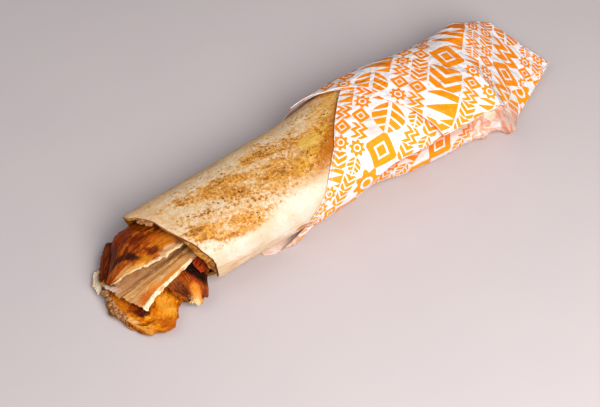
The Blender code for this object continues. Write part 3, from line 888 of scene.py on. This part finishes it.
# From the lowest up. Places and reaches are on the flat slice: in from its near edge, then along
# from the bread. The looks that aren't here have the dark layers.
LAYERS = {
    "glazed_top_slice": (
        (mottle, "d27610", (2.4, 8, 5), 0.54, 0.62, 0.7),
        (mottle, "581400", (2.2, 6, 5), 0.53, 0.61, 0.75), (blot, "ba560a", (9, 16), (6, 10), 0.7),
        (blot, "cc7818", (7, 19), (3.6, 9), 0.75), (blot, "a04a08", (25, 18), (5, 16), 0.6),
        (blot, "681c0c", (25, 34), (5, 10), 0.7), (blot, "b05800", (4.5, 39), (4.6, 10), 0.85),
        (blot, "d68618", (3.4, 36), (2.6, 6), 0.8), (blot, "4a140a", (27, 47), (7, 9), 0.85),
        (blot, "4c1002", (11, 40), (4.5, 3.6), 0.95), (blot, "541203", (5.5, 26.5), (2.2, 4), 0.95),
        (blot, "5a1504", (16, 29), (3, 7), 0.8), (blot, "8a4a20", (20, 52), (6, 4), 0.7),
        (blot, "dfb27c", (0.8, 19), (3.2, 7), 0.9), (blot, "dca860", (5, 50), (2.6, 7), 0.6),
        (blot, "e8b468", (1, 44), (2.6, 9), 0.7), (near_rim, "f2d8a8", 1.6, 0.4, 0.9),
        (blot, "2a0a05", (15, 31.4), (11, 3.4), 0.97, 0.6, 0.85),
    ),
    "pale_upper_slice": (
        (mottle, "a97040", (5, 7, 5), 0.46, 0.68, 0.6), (mottle, "e0bc94", (4, 5, 5), 0.52, 0.66, 0.6),
        (mottle, "9a6236", (1.2, 4, 3), 0.56, 0.68, 0.4), (blot, "b07a58", (9, 54), (7, 6), 0.4),
        # painted shade: last blot below, a dark line in the groove where the lower slice meets it
        (blot, "d8bcae", (9.5, 60), (5, 2.6), 0.8), (blot, "7c4a26", (1.6, 36), (1.2, 22), 0.75, 0.3),
    ),
    "pale_lower_slice": (
        (mottle, "ba8048", (4, 6, 5), 0.46, 0.68, 0.6), (mottle, "edc894", (3, 5, 5), 0.52, 0.66, 0.5),
        (mottle, "9c602c", (1.2, 4, 3), 0.56, 0.68, 0.45),
        # painted shade: first blot below, a dark line in the groove where the upper slice meets it
        (blot, "80501f", (13.0, 40), (1.4, 14), 0.7, 0.3), (blot, "cc7008", (4.6, 34), (1.8, 15), 0.9),
        (blot, "b45400", (5.0, 50), (3.8, 7), 1.0), (blot, "d07818", (7.5, 44), (2.0, 3), 0.7),
        (blot, "8c3a12", (12.5, 21), (1.8, 2.4), 0.8), (blot, "a04c18", (9, 15), (2.4, 2), 0.7),
        (near_rim, "fde8c0", 3.4, 2.0, 1.0, 4.4), (mottle, "d07c26", (1.6, 2.2, 2), 0.53, 0.61, 0.65),
        (blot, "cc7420", (0.8, 12), (2.6, 6), 0.8), (blot, "d98a30", (0.6, 25), (1.4, 3), 0.8),
        (blot, "cf7a22", (1.2, 40), (1.2, 2.4), 0.8),
    ),
    "crisp_bottom_slice": (
        (mottle, "c25c00", (4, 4, 4), 0.49, 0.57, 0.8),
        (mottle, "f8b850", (2.6, 2.6, 3), 0.55, 0.62, 0.6),
        (mottle, "843004", (3.2, 3.2, 3), 0.56, 0.63, 0.8), (near_rim, "7c3408", 2.2, 0.5, 0.6),
        # painted shade: the dark red-brown blots at (28, 42) and (20, 48), where the pale slices lie
        (blot, "b85e06", (29, 50), (9, 7), 0.8), (blot, "8a2800", (28, 42), (12, 4.5), 0.9),
        (blot, "7c2000", (20, 48), (6, 6), 0.9), (blot, "400e06", (17.5, 48), (3.6, 4), 0.95),
        (blot, "f0a434", (9, 37), (7, 5), 0.8), (blot, "b4540c", (3, 44), (6, 4), 0.85),
        (blot, "e8b670", (13, 57), (7, 3.4), 0.85), (blot, "dd9c48", (3, 54), (4, 3), 0.7),
        (blot, "e8b670", (33, 57), (3, 2.6), 0.8), (blot, "642207", (9.5, 52), (1.4, 5), 0.8),
        (crumbly_border, 40.5, 61.5),
    ),
    "charred_side_slice": (
        (mottle, "e08a28", (6, 1.6, 5), 0.53, 0.62, 0.7),
        (mottle, "531206", (7, 1.2, 5), 0.50, 0.57, 0.85), (blot, "982a00", (14, 20), (11, 3.2), 0.85),
        (blot, "f0922c", (7, 23.5), (4.5, 3.2), 0.85), (blot, "34120c", (10, 30.5), (7, 4), 0.85),
        (blot, "8a4526", (17, 32), (5, 5), 0.6), (blot, "7a3020", (2, 19.5), (2.2, 3.4), 0.8),
        (blot, "eca04a", (3.0, 25.6), (3.6, 4), 0.8, 1.1),
        (blot, "f2cf94", (1.2, 27), (3.0, 3.4), 0.95, 1.1),
        # painted shadow: the two near-black blots below, along the hollow under the inner slice
        (blot, "120201", (13, 11.4), (15, 3.6), 1.0, 0.3, 0.45),
        (blot, "120201", (13, 11.4), (15, 3.0), 1.0, 0.3, 0.45),
    ),
    "torn_end_piece": (
        # painted light: the pale blot is lightened with the base, to offset the shade on it
        (blot, "a06040", (5.5, 9), (3.5, 6), 0.8), (blot, "fff0d0", (3, 14), (3, 4), 0.8),
    ),
    "torn_crumbs": (
        (mottle, "7a3c18", (1.5, 1.5, 1.5), 0.52, 0.62, 0.6),
    ),
}


def roast(name):
    """A look of roast chicken: base with streaks along its fibres and then its layers; its gloss
    breaks up over grain and lumps."""
    base, streak, size, torn, rough, relief, specular, soft, wet = ROASTS[name]
    look = Look(name)
    look.torn = torn
    look.fibres = look.cloud((*size, 5), 4, 0.6, look.flat)
    look.grain = look.cloud(0.9, 3, 0.7)
    lumps = look.cloud(4.5, 3, 0.6)
    look.colour = look.blend(look.fibres.step(0.36, 0.62), streak, base)
    for lay, *values in LAYERS.get(name, DARK_LAYERS):
        lay(look, *values)
    gloss = rough + (look.grain - 0.5) * 0.4 + (lumps - 0.5) * 0.4
    height = look.fibres * 0.9 + look.grain * 0.4 + lumps
    spots = (look.grain * 0.5 + look.fibres * 0.5).step(0.56, 0.64) * wet
    return look.done(gloss, height, relief, spots, specular, soft)


# Thickness, raggedness of the far and near edge, cells, height of fibres and of lumps, slot, look
SLICE_FORMS = {
    "bottom_slice": (3.0, (2.2, 2.2), (100, 130), 0.16, 0.6, "crisp_chicken", "crisp_bottom_slice"),
    "end_piece": (2.4, (1.2, 1.2), (40, 60), 0.3, 0.4, "pale_chicken", "torn_end_piece"),
    "far_slice": (3.0, (1.6, 1.6), (60, 110), 0.3, 0.5, "glazed_chicken", "glazed_far_slice"),
    "side_slice": (2.8, (2.2, 2.2), (80, 110), 0.3, 0.4, "glazed_chicken", "charred_side_slice"),
    "inner_slice": (1.7, (1.0, 1.0), (40, 60), 0.3, 0.3, "glazed_chicken", "glazed_inner_slice"),
    "pale_slice_lower": (2.1, (0.0, 1.2), (60, 130), 0.07, 0.5, "pale_chicken", "pale_lower_slice"),
    "pale_slice_upper": (2.1, (1.0, 0.2), (60, 130), 0.07, 0.5, "pale_chicken", "pale_upper_slice"),
    "top_slice": (3.0, (1.6, 1.6), (90, 140), 0.24, 0.6, "glazed_chicken", "glazed_top_slice"),
}
GROOVES = {  # along a slice: its place across and its depth
    "pale_slice_lower": (0.8, 0.7),
    "pale_slice_upper": (0.08, 0.5),
}
FIBRES_ACROSS = {"side_slice"}
NOTCHES = {  # torn into a slice's near edge: place along it, depth, half width
    "bottom_slice": ((0.63, 1.6, 1.6), (0.80, 2.2, 2.4)),
    "pale_slice_lower": ((0.24, 2.2, 5.0),),
    "side_slice": ((0.58, 1.6, 1.6), (0.83, 4.5, 2.2)),
}
TEAR_LENGTH = 7.0
SIDE_TEAR_POWER, TIP_TEAR_POWER = 7, 8


def slice_point(stations, across, along):
    """A point of a slice's upper side, from the far edge (0) to the near edge (1)."""
    last = len(stations) - 1
    held = min(max(along, 0.0), 1.0)
    row = smooth(dict(enumerate(stations)), held * last)
    far, near, crown = Vector(row[:3]), Vector(row[3:6]), row[6]
    drift = (Vector(stations[-1][:3]) - Vector(stations[-2][:3])) * (along - held) * last
    return far.lerp(near, across) + drift + Vector((0, 0, crown * 4 * across * (1 - across)))


def make_slice(name):
    """A slice of meat with torn, thinning edges, fibres along it and uneven lumps."""
    stations = SLICES[name]
    thick, ragged, cells, fibre, lump, slot, look = SLICE_FORMS[name]
    groove, depth = GROOVES.get(name, (0, 0))
    length = (Vector(stations[0][:3]) - Vector(stations[-1][:3])).length
    width = max((Vector(row[:3]) - Vector(row[3:6])).length for row in stations)
    solid = "chicken_" + name
    seed = Vector((0, 0.7 * sum(map(ord, solid)), 0))
    wide, long = (9, 1.3) if name in FIBRES_ACROSS else (1.3, 9)

    def tear(run, edge):
        return noise.noise(seed + Vector((run / TEAR_LENGTH, edge, 0)))

    def fray(place, number):
        return ripple(place, 2.2, number) + 0.6 * ripple(place, 0.9, number + 1)

    def surface(from_near, from_bread):
        across, along = 1 - from_near, from_bread
        at_side = (2 * across - 1) ** SIDE_TEAR_POWER
        at_tip = along**TIP_TEAR_POWER
        side = round(across)
        by_side = (along * length, 9 * side, 0)
        frayed = min(ragged[side], 1) * (0.9 + 1.3 * ripple(by_side, 7, 50)) * fray(by_side, 41)
        torn = tear(along * length, side) * ragged[side] + frayed * abs(at_side)
        torn_tip = tear(across * width, 5) * max(ragged)
        torn_tip += 0.9 * fray((across * width, 5, 0), 43) * at_tip
        across += at_side * torn / width
        for place, deep, half in NOTCHES.get(name, ()):
            off = (along - place) * length / half
            across -= max(at_side, 0.0) * deep * math.exp(-off * off) / width
        along += at_tip * torn_tip / length
        point = slice_point(stations, across, along)
        flat = Vector((across * width / wide, along * length / long, 0))
        grain = Vector((0, 0, seed.y))
        relief = fibre * ripple(flat + grain, 1, 45)
        relief += 0.6 * fibre * ripple(flat * 2 + grain, 1, 46)
        relief += lump * ripple(point, 5.5, 47) + 0.4 * lump * ripple(point, 2.2, 48)
        off_groove = (from_near - groove) * width + ripple((0, along * length, 3), 9, 49)
        relief -= depth * math.exp(-((off_groove / 1.5) ** 2)) * ease(along, 0.15, 0.35)
        point.z = max(point.z + relief, thick + 0.3)
        return point, (from_near * width / 100, from_bread * length / 100)

    piece = sheet("roast_" + name, surface, cells, thick, (roast(look),), [solid])
    group = piece.vertex_groups.new(name="thick")
    columns = cells[0] + 1
    for vert in piece.data.vertices:
        across, along = (vert.index % columns) / cells[0], (vert.index // columns) / cells[1]
        in_from_edge = min(min(across, 1 - across) * width, (1 - along) * length)
        group.add([vert.index], min(1.0, 0.15 + in_from_edge / 2.5), "REPLACE")
    solidify = piece.modifiers["Thickness"]
    solidify.vertex_group = "thick"
    solidify.thickness_vertex_group = 0.25


def make_filling():
    """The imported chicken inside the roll."""
    def surface(across, along):
        angle = 360 * across
        x = FILLING_START + (FILLING_END - FILLING_START) * along
        point = Vector(roll_point(x, angle, FILLING_INSET))
        inwards = within(along, 0, 0.03, 0.97, 1)
        reach = 0.02 + 0.98 * inwards**0.5 + 0.04 * ripple(point, 6, 51) * inwards
        return Vector((x, 2, 20)).lerp(point, reach), (way_round(angle) / 100, x / 100)

    sheet("packed_filling", surface, (90, 160), 1.0, (roast("packed_meat"),),
          ["chicken_filling"], 0, True)


def make_crumbs():
    """Small torn crumbs of chicken and bread, caught along the bottom slice's far border and
    inside the bread's far lip."""
    def crumb(place, heading, length, width, seed):
        ahead = Vector((cosd(heading), sind(heading), 0))
        aside = Vector((-sind(heading), cosd(heading), 0))

        def surface(across, along):
            s, t = along - 0.5, across - 0.5
            half = width * (1 - (2 * abs(s)) ** 2.5) ** 0.5
            half *= 1 + 0.6 * ripple((s * length, seed, round(across)), 0.8, 63)
            point = Vector(place) + ahead * s * length
            point += aside * (t * half + 0.6 * ripple((s * length, seed, 0), 1.4, 61))
            point.z += 0.8 * ripple((s * length, t * width, seed), 1.1, 62) + 0.5 * (1 - 4 * t * t)
            return point, (t * width / 100, s * length / 100)

        return surface

    chance = random.Random(3)
    lip = [roll_point(rim_x(angle) + 0.2, angle, 3.4) for angle in (60, 76)]
    crumbs = []
    for start, end, count in (
        ((-136.0, 8.0, 6.2), (-138.4, 2.0, 5.2), 4),
        ((-138.6, 1.0, 5.0), (-139.0, -6.0, 4.4), 6),
        ((-139.0, -7.0, 4.4), (-137.0, -14.0, 4.2), 6),
        (*lip, 6),
    ):
        for number in range(count):
            place = Vector(start).lerp(Vector(end), (number + chance.random() * 0.7) / count)
            place += Vector((chance.uniform(-0.8, 0.8), chance.uniform(-0.8, 0.8), 0))
            crumbs.append(crumb(
                place, chance.uniform(0, 180), chance.uniform(1.8, 3.4), chance.uniform(1.0, 1.9),
                chance.uniform(0, 50),
            ))
    sheet("torn_crumbs", crumbs, (6, 10), 0.7, (roast("torn_crumbs"),))


# ---- Setting ----

FLOOR_HALF, FLOOR_BELOW = 2.0, 0.0001  # metres
CAMERA_ANGLES = (-36.4, 52)  # round from the near side, and up
CAMERA_TARGET = Vector((-22.5, -3.6, 0))
CAMERA_AWAY = 878
LAMPS = (  # name, place and size in metres, power, colour
    ("key", (-0.08, -0.50, 0.54), 0.5, 6.6, (1.0, 0.985, 0.97)),
    ("fill", (-0.7, 0.4, 0.9), 1.0, 2.6, (0.95, 0.95, 1.0)),
)


def make_setting():
    """A plain pale floor, soft studio light and the camera at the photograph's angle."""
    look = Look("pale_floor")
    soft = look.cloud(60, 3)
    look.colour = look.blend(soft, "c3b9ba", "c8bfbf")
    grid = bmesh.new()
    bmesh.ops.create_grid(grid, x_segments=1, y_segments=1, size=FLOOR_HALF)
    bmesh.ops.translate(grid, verts=grid.verts, vec=(0, 0, -FLOOR_BELOW))
    mesh = bpy.data.meshes.new("floor")
    grid.to_mesh(mesh)
    grid.free()
    mesh.materials.append(look.done(0.7, soft, 0.1))
    floor = placed("floor", mesh)

    data = bpy.data.cameras.new("camera")
    data.lens = 100
    data.sensor_width = 36
    data.clip_end = 20
    camera = placed("camera", data)
    turn, rise = CAMERA_ANGLES
    back = Vector((sind(turn) * cosd(rise), -cosd(turn) * cosd(rise), sind(rise)))
    camera.location = (CAMERA_TARGET - CENTRE + back * CAMERA_AWAY) * MM
    camera.rotation_euler = (math.radians(90 - rise), 0, math.radians(turn))
    bpy.context.scene.camera = camera

    for name, place, size, power, colour in LAMPS:
        light = bpy.data.lights.new(name, "AREA")
        light.shape = "DISK"
        light.size = size
        light.energy = power
        light.color = colour
        lamp = placed(name, light)
        lamp.location = place
        lamp.rotation_euler = (-Vector(place)).to_track_quat("-Z", "Y").to_euler()
    world = bpy.data.worlds.new("studio")
    bpy.context.scene.world = world
    world.use_nodes = True
    background = world.node_tree.nodes["Background"]
    background.inputs["Color"].default_value = (0.93, 0.92, 0.95, 1)
    background.inputs["Strength"].default_value = 0.25
    bpy.context.scene.view_settings.view_transform = "Standard"


make_flatbread()
make_paper()
for slice_name in SLICES:
    make_slice(slice_name)
make_filling()
make_crumbs()
make_setting()
